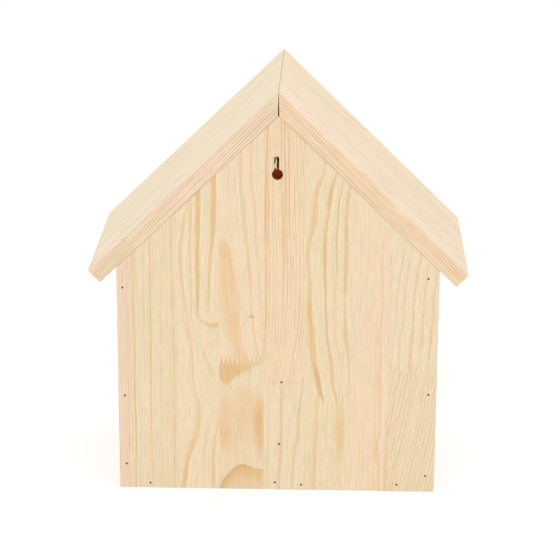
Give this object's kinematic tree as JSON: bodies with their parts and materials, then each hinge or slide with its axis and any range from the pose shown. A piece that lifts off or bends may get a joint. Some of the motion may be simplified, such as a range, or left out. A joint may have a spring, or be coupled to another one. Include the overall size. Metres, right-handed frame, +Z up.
{
  "type": "birdhouse",
  "caption": "Gabled two-bay birdhouse in plain edge-glued pine with a mitred roof, a keyhole hanger in the back and a swing-up clean-out front.",
  "frame": {"origin": "on the ground, under the middle of the roof's plan", "axes": "+Z up, -Y out of the front door, +Y out of the hanging back, +X to the right seen from the front"},
  "size_m": [0.3294, 0.18, 0.3625],
  "materials": {
    "panel_pine": "bare planed edge-glued pine, matt",
    "roof_pine": "bare planed edge-glued pine, pale, matt",
    "inner_pine": "bare sawn pine, matt",
    "beech": "smooth turned beech, satin",
    "brad_steel": "darkened headless brad",
    "screw_zinc": "bright zinc-plated"
  },
  "bodies": {
    "box": {"back_panel": "panel_pine", "right_wall": "panel_pine", "left_wall": "panel_pine", "floor_board": "inner_pine", "bay_divider": "inner_pine", "front_gable": "panel_pine", "right_roof": "roof_pine", "left_roof": "roof_pine", "turn_button_screw": "screw_zinc", "right_wall_back_brad_1": "brad_steel", "right_wall_back_brad_2": "brad_steel", "right_wall_back_brad_3": "brad_steel", "left_wall_back_brad_1": "brad_steel", "left_wall_back_brad_2": "brad_steel", "left_wall_back_brad_3": "brad_steel", "floor_back_brad_1": "brad_steel", "floor_back_brad_2": "brad_steel", "floor_back_brad_3": "brad_steel", "floor_back_brad_4": "brad_steel", "divider_back_brad_1": "brad_steel", "divider_back_brad_2": "brad_steel", "right_floor_brad_1": "brad_steel", "right_floor_brad_2": "brad_steel", "left_floor_brad_1": "brad_steel", "left_floor_brad_2": "brad_steel", "right_gable_brad": "brad_steel", "left_gable_brad": "brad_steel", "divider_foot_brad_1": "brad_steel", "divider_foot_brad_2": "brad_steel"},
    "door": {"front_door": "panel_pine", "right_perch": "beech", "left_perch": "beech", "right_pivot_screw": "screw_zinc", "left_pivot_screw": "screw_zinc"},
    "button": {"turn_button": "beech"}
  },
  "joints": [
    {"name": "door_swing", "type": "hinge", "parent": "box", "child": "door", "pos_m": [0, -0.0525, 0.178], "axis": [-1, 0, 0], "range_deg": [0, 105]},
    {"name": "button_turn", "type": "hinge", "parent": "box", "child": "button", "pos_m": [0, -0.0628, 0.0075], "axis": [0, -1, 0], "range_deg": [0, 90]}
  ]
}
